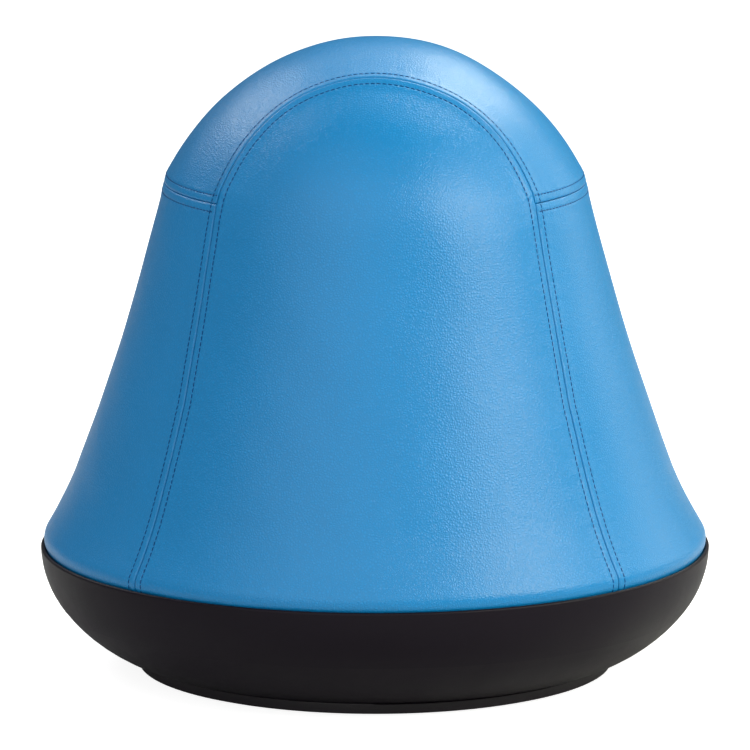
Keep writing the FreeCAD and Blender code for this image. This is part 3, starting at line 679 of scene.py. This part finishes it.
def vinyl_look():
    """Blue leathercloth: round pebbles with fine creases between them, semi-matt, with painted shade in the
    creases.
    """
    blue = (0.003, 0.232, 0.560)
    look = Look("cover_vinyl", blue, 0.31, Specular_IOR_Level=0.50)
    place = look.shifted(GRAIN_WANDER, GRAIN_WANDER_SCALE)
    pebble = look.remap(look.cells(PEBBLE_SCALE, place), 0.0, PEBBLE_EDGE, 0.0, 1.0)
    crease = look.remap(look.cells(CREASE_SCALE, place), 0.0, CREASE_EDGE, 0.0, 1.0)
    swell = look.noise(SWELL_SCALE, 3.0)
    pebbled = look.math("MULTIPLY", pebble, PEBBLE_SHARE)
    creased = look.math("MULTIPLY", crease, CREASE_SHARE)
    swollen = look.math("MULTIPLY", swell, SWELL_SHARE)
    relief = look.math("ADD", look.math("ADD", pebbled, creased), swollen)
    look.bump(relief, GRAIN_DEPTH, GRAIN_STRENGTH)
    patch = look.noise(9.0, 3.0)
    # Colour: painted shade, darker down in the creases between the pebbles, mixed with a broad patchy tone
    # of the cloth's own.
    crease_shade_and_tone = look.math("ADD", look.math("MULTIPLY", pebble, 0.55), look.math("MULTIPLY", patch, 0.45))
    look.tint(crease_shade_and_tone, shade(blue, 0.86), shade(blue, 1.08))
    raised = look.math("ADD", look.math("MULTIPLY", pebble, 0.5), swell)
    look.rough(look.remap(raised, 0.1, 1.3, 0.36, 0.28))
    return look.material


def thread_look():
    """Twisted sewing thread, darker than the cover."""
    blue = (0.003, 0.048, 0.185)
    look = Look("topstitch_thread", blue, 0.62, Specular_IOR_Level=0.2)
    strands = look.noise(2600, 2.0)
    look.bump(strands, 0.0001, 0.5)
    look.tint(strands, shade(blue, 0.7), shade(blue, 1.35))
    return look.material


def plastic_look(name, color, roughness, grain=1500, depth=0.00005, gloss=0.38):
    """Moulded plastic with a fine spark-eroded texture and faint handling marks."""
    look = Look(name, color, roughness, Specular_IOR_Level=gloss)
    fine = look.noise(grain, 3.0)
    broad = look.noise(14, 4.0)
    look.bump(fine, depth, 0.5)
    look.tint(broad, shade(color, 0.85), shade(color, 1.18))
    worn = look.math("ADD", fine, broad)
    look.rough(look.remap(worn, 0.6, 1.4, roughness - 0.06, roughness + 0.07))
    return look.material


def rubber_look():
    """Matt black rubber."""
    look = Look("grip_rubber", (0.018, 0.018, 0.018), 0.82, Specular_IOR_Level=0.25)
    grain = look.noise(900, 4.0)
    look.bump(grain, 0.00012, 0.7)
    look.tint(look.noise(40, 3.0), (0.014, 0.014, 0.014), (0.028, 0.027, 0.026))
    return look.material


def steel_look(name, color, roughness, brushed):
    """Bare or plated steel. brushed under 1 draws its grain out into upright lines."""
    look = Look(name, color, roughness, Metallic=1.0)
    stretched = look.node("ShaderNodeMapping", Vector=look.place, Scale=(1.0, 1.0, brushed)).outputs[0]
    lines = look.noise(700, 3.0, stretched)
    look.bump(lines, 0.00003, 0.4)
    look.tint(look.noise(60, 3.0), shade(color, 0.88), shade(color, 1.0))
    look.rough(look.remap(lines, 0.3, 0.7, roughness - 0.07, roughness + 0.09))
    return look.material


def knit_look():
    """Off-white knitted lining on foam."""
    look = Look("foam_lining", (0.66, 0.66, 0.63), 0.9, Sheen_Weight=0.3)
    loops = look.cells(720, None, "F1")
    look.bump(loops, 0.0004, 0.8)
    look.tint(loops, (0.50, 0.50, 0.47), (0.74, 0.74, 0.71))
    return look.material


def bladder_look():
    """Blown ball vinyl: smooth, faintly orange-peeled, semi-matt grey."""
    grey = (0.34, 0.36, 0.38)
    look = Look("ball_vinyl", grey, 0.38, Specular_IOR_Level=0.5)
    peel = look.noise(260, 3.0)
    look.bump(peel, 0.0002, 0.35)
    look.tint(look.noise(7, 3.0), shade(grey, 0.9), shade(grey, 1.08))
    look.rough(look.remap(peel, 0.3, 0.7, 0.33, 0.45))
    return look.material


LOOKS = {
    "cover_vinyl": vinyl_look(),
    "foam_lining": knit_look(),
    "bowl_plastic": plastic_look("bowl_plastic", (0.0046, 0.0020, 0.0066), 0.46, gloss=0.18),
    # The foot is a lighter black than the bowl: painted reflection, standing in for the light that its edge
    # throws back.
    "foot_plastic": plastic_look("foot_plastic", (0.0150, 0.0115, 0.0170), 0.40, gloss=0.50),
    "cradle_plastic": plastic_look("cradle_plastic", (0.030, 0.030, 0.031), 0.50, 900, 0.0001),
    "hoop_plastic": plastic_look("hoop_plastic", (0.045, 0.045, 0.046), 0.48, 700, 0.0001),
    "grip_rubber": rubber_look(),
    "zinc_steel": steel_look("zinc_steel", (0.62, 0.63, 0.62), 0.34, 0.05),
    "screw_steel": steel_look("screw_steel", (0.55, 0.55, 0.56), 0.30, 1.0),
    "ball_steel": steel_look("ball_steel", (0.70, 0.70, 0.72), 0.12, 1.0),
    "nylon": plastic_look("nylon", (0.66, 0.64, 0.56), 0.42, 600, 0.0001),
    "ball_vinyl": bladder_look(),
    "plug_plastic": plastic_look("plug_plastic", (0.72, 0.72, 0.72), 0.30, 500, 0.0001),
}
THREAD = thread_look()


def dress_frame():
    """Gives every CAD node the look of its slot in the record."""
    for entry in frame["record"]["subparts"]:
        node = frame["nodes"][entry["node"]]
        for slot in node.material_slots:
            slot.material = LOOKS[entry["material_slot"]]


# Pieces ---------------------------------------------------------------------------------------


def on_cover(piece):
    """Bakes a cover piece's placement into its mesh."""
    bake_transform(piece)


def flat_sizes():
    """Width and length of each panel's flat pattern, before it is sewn and stretched."""
    hem_radius = OUTLINE.radius.max()
    arch_top = arch_seam(SEAM_STEP)[:, 0].min()
    front = (2 * SEAM_ANGLE * hem_radius, OUTLINE.end - arch_top)
    side = ((math.pi - 2 * SEAM_ANGLE) * hem_radius, OUTLINE.end - OUTLINE.shoulder)
    crown = ((math.pi - 2 * ARCH_FOOT_ANGLE) * SEAM_RADIUS, 2 * OUTLINE.shoulder)
    return {"front": front, "back": front, "crown": crown, "right": side, "left": side}


def build_panels():
    """The five sewn panels of the cover."""
    nodes = {"front": "front_panel", "back": "back_panel", "crown": "crown_panel",
             "right": "right_side_panel", "left": "left_side_panel"}
    places = candidate_places()
    owner = panel_of(places)
    sizes = flat_sizes()
    for name, border in panel_borders().items():
        inside, faces = triangulate(border, places[owner == name])
        points = cover_points(inside)
        panel = closed_sheet(f"{name}_cover", points, faces, SKIN, LOOKS["cover_vinyl"])
        on_cover(panel)
        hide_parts(nodes[name])


ROW_RUN_ON = math.radians(4)
ROW_STEP = SEAM_STEP / 4
ROW_TRIM = 1.5 * MM
THREAD_SIDES = 6
THREAD_PROBE = 0.5 * MM
THREAD_SHARES = np.array([-1.0, -0.72, -0.3, 0.3, 0.72, 1.0])
THREAD_HEIGHTS = np.array([-0.50, 0.05, 0.30, 0.30, 0.05, -0.50]) * MM
THREAD_GIRTHS = np.array([0.55, 0.95, 1.0, 1.0, 0.95, 0.55])


def stitch_row(places):
    """Points and faces of a row of stitches that follows a line of places."""
    points = surface(places)
    run = run_along(points)
    count = int((run[-1] - 2 * ROW_TRIM) / STITCH_PITCH)
    start = (run[-1] - count * STITCH_PITCH) / 2
    centres = start + (np.arange(count) + 0.5) * STITCH_PITCH
    along = (centres[:, None] + THREAD_SHARES * STITCH_LENGTH / 2).ravel()
    here = np.stack([np.interp(along, run, places[:, axis]) for axis in (0, 1)], axis=1)
    down, across, out = directions(here)
    middle = cover_points(here) + out * np.tile(THREAD_HEIGHTS, count)[:, None]
    ahead, behind = (np.stack([np.interp(along + probe, run, points[:, axis]) for axis in range(3)], axis=1)
                     for probe in (THREAD_PROBE, -THREAD_PROBE))
    side = unit(np.cross(unit(ahead - behind), out))
    slant = STITCH_SLANT * np.sign(THREAD_SHARES) * THREAD_SHARES ** 2
    middle = middle + side * np.tile(slant, count)[:, None]
    girth = np.tile(THREAD_GIRTHS, count)[:, None] * THREAD_RADIUS
    angles = np.arange(THREAD_SIDES) * 2 * math.pi / THREAD_SIDES
    ring = [middle + girth * (math.cos(angle) * side + math.sin(angle) * out) for angle in angles]
    vertices = np.stack(ring, axis=1).reshape(-1, 3)
    faces = []
    rings = len(THREAD_SHARES)
    for stitch in range(count):
        base = stitch * rings * THREAD_SIDES
        for step in range(rings - 1):
            for corner in range(THREAD_SIDES):
                following = (corner + 1) % THREAD_SIDES
                low, high = base + step * THREAD_SIDES, base + (step + 1) * THREAD_SIDES
                faces.append((low + corner, low + following, high + following, high + corner))
        faces.append(tuple(base + corner for corner in reversed(range(THREAD_SIDES))))
        last = base + (rings - 1) * THREAD_SIDES
        faces.append(tuple(last + corner for corner in range(THREAD_SIDES)))
    return vertices, faces


def row_lines(side):
    """Every row of stitches on one side of the seams. A shoulder's rows end at the arched seams."""
    front = moved(front_seam(SEAM_STEP), side)
    shoulder = moved(shoulder_seam(ROW_STEP, ROW_RUN_ON), side)
    shoulder = shoulder[~np.isin(panel_of(shoulder), ("front", "back"))]
    return {"front": front, "rear": turned(front), "right": shoulder, "left": mirrored(shoulder)}


def build_topstitch():
    """Two rows of stitches along every seam, one each side of it."""
    rows = [row_lines(STITCH_MARGIN), row_lines(-STITCH_MARGIN)]
    for name in rows[0]:
        vertices, faces, count = [], [], 0
        for lines in rows:
            row_vertices, row_faces = stitch_row(lines[name])
            vertices.append(row_vertices)
            faces += [tuple(corner + count for corner in face) for face in row_faces]
            count += len(row_vertices)
        thread = mesh_object(f"{name}_topstitch", np.concatenate(vertices), faces, THREAD)
        on_cover(thread)


LINING_MARGIN = 0.007
LINING_CLEAR = 0.011
LINING_HEM = 0.008
LINING_SPARE = 0.9 * MM
LINING_DEPTH = SKIN + 0.1 * MM
LINING_THIN = 3
BORDER_THIN = 4
BORDER_OVERLAP = 3


def inset(border, distance):
    """A closed border drawn in by a distance over the surface."""
    longer = np.concatenate([border[-BORDER_OVERLAP:], border, border[:BORDER_OVERLAP]])
    return moved(longer, distance)[BORDER_OVERLAP:-BORDER_OVERLAP]


def build_lining():
    """The foam-backed lining under each panel, held back from the seams."""
    places = lattice()
    clear = nearest_seam(places) > LINING_CLEAR
    places = places[clear & (places[:, 0] < OUTLINE.end - LINING_HEM)][::LINING_THIN]
    owner = panel_of(places)
    for name, border in panel_borders().items():
        edge = inset(border, LINING_MARGIN)[::BORDER_THIN]
        inside, faces = triangulate(edge, places[owner == name])
        points = cover_points(inside, LINING_DEPTH)
        lining = closed_sheet(f"{name}_lining", points, faces, LINING - LINING_SPARE, LOOKS["foam_lining"])
        on_cover(lining)
        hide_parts("crown_pad" if name == "crown" else "skirt_lining")


LATHE_STEPS = 192


def lathe(name, section, material):
    """A closed ring or solid turned from a closed (radius, height) section."""
    angles = np.arange(LATHE_STEPS) * 2 * math.pi / LATHE_STEPS
    vertices = [(radius * math.cos(angle), radius * math.sin(angle), height)
                for angle in angles for radius, height in section]
    count = len(section)
    faces = []
    for turn in range(LATHE_STEPS):
        here, there = turn * count, (turn + 1) % LATHE_STEPS * count
        for step in range(count):
            following = (step + 1) % count
            faces.append((here + step, there + step, there + following, here + following))
    return mesh_object(name, vertices, faces, material)


BALL_SKIN = 0.0025
BALL_RIB = 0.0005
BALL_RIB_PITCH = 0.014
BALL_RIB_CUT = 0.6
BALL_RIBS_START = (0.35, 0.5)
BALL_RIBS_END = (1.25, 1.4)
BALL_PRESS = 0.0035
BALL_PRESSED = (math.radians(2), math.radians(22))
BALL_ROWS = 700
BALL_INSIDE_THIN = 6
BALL_TOP_GAP = 0.002
VALVE_HOLE = 0.006


def build_ball():
    """The blown ball, with rows of low grip ribs round its top and its bottom."""
    low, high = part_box("air_ball")
    radius = (high[0] - low[0]) / 2
    centre = high[2] - radius
    hole = math.asin(VALVE_HOLE / radius)
    turn = np.linspace(-math.pi / 2 + hole, math.pi / 2 - BALL_TOP_GAP, BALL_ROWS)
    wave = np.cos(turn * radius * 2 * math.pi / BALL_RIB_PITCH)
    rib = np.maximum(wave - BALL_RIB_CUT, 0) / (1 - BALL_RIB_CUT)
    ribbed = smoothstep(*BALL_RIBS_START, np.abs(turn)) * (1 - smoothstep(*BALL_RIBS_END, np.abs(turn)))
    shell = radius - BALL_PRESS * smoothstep(*BALL_PRESSED, turn)
    outer = shell + BALL_RIB * (rib * ribbed - 1)
    outside = np.stack([outer * np.cos(turn), centre + outer * np.sin(turn)], axis=1)
    back = turn[::-BALL_INSIDE_THIN]
    inner = shell[::-BALL_INSIDE_THIN] - BALL_SKIN
    inside = np.stack([inner * np.cos(back), centre + inner * np.sin(back)], axis=1)
    ball = lathe("ball_bladder", np.concatenate([outside, inside]), LOOKS["ball_vinyl"])
    on_cover(ball)
    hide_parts("air_ball")


# Floor, light and camera ----------------------------------------------------------------------

FLOOR_HALF = 30.0
FLOOR_GREY = (0.64, 0.64, 0.64)
FLOOR_GLOW_NEAR = 0.88
FLOOR_GLOW_FAR = 1.05
FLOOR_NEAR = 0.5
FLOOR_FAR = 2.2
WORLD_GLOW = 0.11
WORLD_SHOWN = 1.0
WHITE = (1, 1, 1, 1)


def floor_look():
    """White sweep: it takes the lights' shadows, and looks evenly lit where there is none."""
    look = Look("floor", FLOOR_GREY, 0.9, Specular_IOR_Level=0.0)
    reach = look.node("ShaderNodeVectorMath", {"operation": "LENGTH"}, i0=look.place).outputs["Value"]
    power = look.remap(reach, FLOOR_NEAR, FLOOR_FAR, FLOOR_GLOW_NEAR, FLOOR_GLOW_FAR)
    glow = look.node("ShaderNodeEmission", Color=WHITE, Strength=power).outputs[0]
    seen = look.node("ShaderNodeLightPath").outputs["Is Camera Ray"]
    black = look.node("ShaderNodeEmission", Strength=0.0).outputs[0]
    shown = look.node("ShaderNodeMixShader", i0=seen, i1=black, i2=glow).outputs[0]
    total = look.node("ShaderNodeAddShader", i0=look.shader.outputs[0], i1=shown).outputs[0]
    look.tree.links.new(total, look.tree.nodes["Material Output"].inputs["Surface"])
    return look.material


def build_stage():
    """The floor, and a world that is shown white but lights the seat only a little."""
    half = FLOOR_HALF
    corners = [(-half, -half, 0), (half, -half, 0), (half, half, 0), (-half, half, 0)]
    floor = mesh_object("floor", corners, [(0, 1, 2, 3)], floor_look())
    world = bpy.data.worlds.new("studio")
    bpy.context.scene.world = world
    world.use_nodes = True
    nodes, links = world.node_tree.nodes, world.node_tree.links
    lit, seen = nodes["Background"], nodes.new("ShaderNodeBackground")
    for background, strength in ((lit, WORLD_GLOW), (seen, WORLD_SHOWN)):
        background.inputs["Color"].default_value = WHITE
        background.inputs["Strength"].default_value = strength
    mix, path = nodes.new("ShaderNodeMixShader"), nodes.new("ShaderNodeLightPath")
    links.new(path.outputs["Is Camera Ray"], mix.inputs[0])
    links.new(lit.outputs[0], mix.inputs[1])
    links.new(seen.outputs[0], mix.inputs[2])
    links.new(mix.outputs[0], nodes["World Output"].inputs["Surface"])


LIGHT_DISTANCE = 3.0
LIGHT_AIM = 0.30
NEUTRAL = (1.0, 1.0, 1.0)
WARM = (1.0, 1.0, 0.88)


def softbox(name, azimuth, rise, power, size, tint=NEUTRAL):
    """A round softbox that faces the seat, at an angle from its front and an angle above level."""
    azimuth, rise = math.radians(azimuth), math.radians(rise)
    level = LIGHT_DISTANCE * math.cos(rise)
    light = bpy.data.lights.new(name, "AREA")
    light.shape = "DISK"
    light.size = size
    light.energy = power
    light.color = tint
    lamp = bpy.data.objects.new(name, light)
    lamp.location = (level * math.sin(azimuth), -level * math.cos(azimuth),
                     LIGHT_AIM + LIGHT_DISTANCE * math.sin(rise))
    aim = Vector((0, 0, LIGHT_AIM)) - lamp.location
    lamp.rotation_euler = aim.to_track_quat("-Z", "Y").to_euler()
    bpy.context.scene.collection.objects.link(lamp)


def build_lights():
    """Softboxes round the seat: azimuth and rise in degrees, power in watts, size in metres."""
    softbox("key_right", 58, 31, 77, 2.2, WARM)
    softbox("side_right", 118, 17, 18, 1.9, WARM)
    softbox("rear_right", 144, 45, 44, 1.4, WARM)
    softbox("rear", 180, 55, 12, 1.6)
    softbox("rear_left", -134, 42, 25, 1.5)
    softbox("left", -92, 22, 4, 2.8)
    softbox("front", -20, 34, 52, 4.2)


CAMERA_DISTANCE = 7.0
CAMERA_RISE = math.radians(10.62)
CAMERA_TURN = math.radians(0.45)
CAMERA_PIVOT = 0.290
CAMERA_AIM = 0.2667
CAMERA_LENS = 369.5
SENSOR = 36.0
CLIP_END = 200


def build_camera():
    """The camera in front of the seat, a little to its left and above it."""
    camera = bpy.data.cameras.new("camera")
    camera.lens = CAMERA_LENS
    camera.sensor_width = SENSOR
    camera.clip_end = CLIP_END
    view = bpy.data.objects.new("camera", camera)
    reach = CAMERA_DISTANCE * math.cos(CAMERA_RISE)
    view.location = (-reach * math.sin(CAMERA_TURN), -reach * math.cos(CAMERA_TURN),
                     CAMERA_PIVOT + CAMERA_DISTANCE * math.sin(CAMERA_RISE))
    aim = Vector((0, 0, CAMERA_AIM)) - view.location
    view.rotation_euler = aim.to_track_quat("-Z", "Y").to_euler()
    bpy.context.scene.collection.objects.link(view)
    bpy.context.scene.camera = view
    bpy.context.scene.view_settings.view_transform = "Standard"


build_camera()
build_stage()
build_lights()
dress_frame()
build_panels()
build_topstitch()
build_lining()
build_ball()
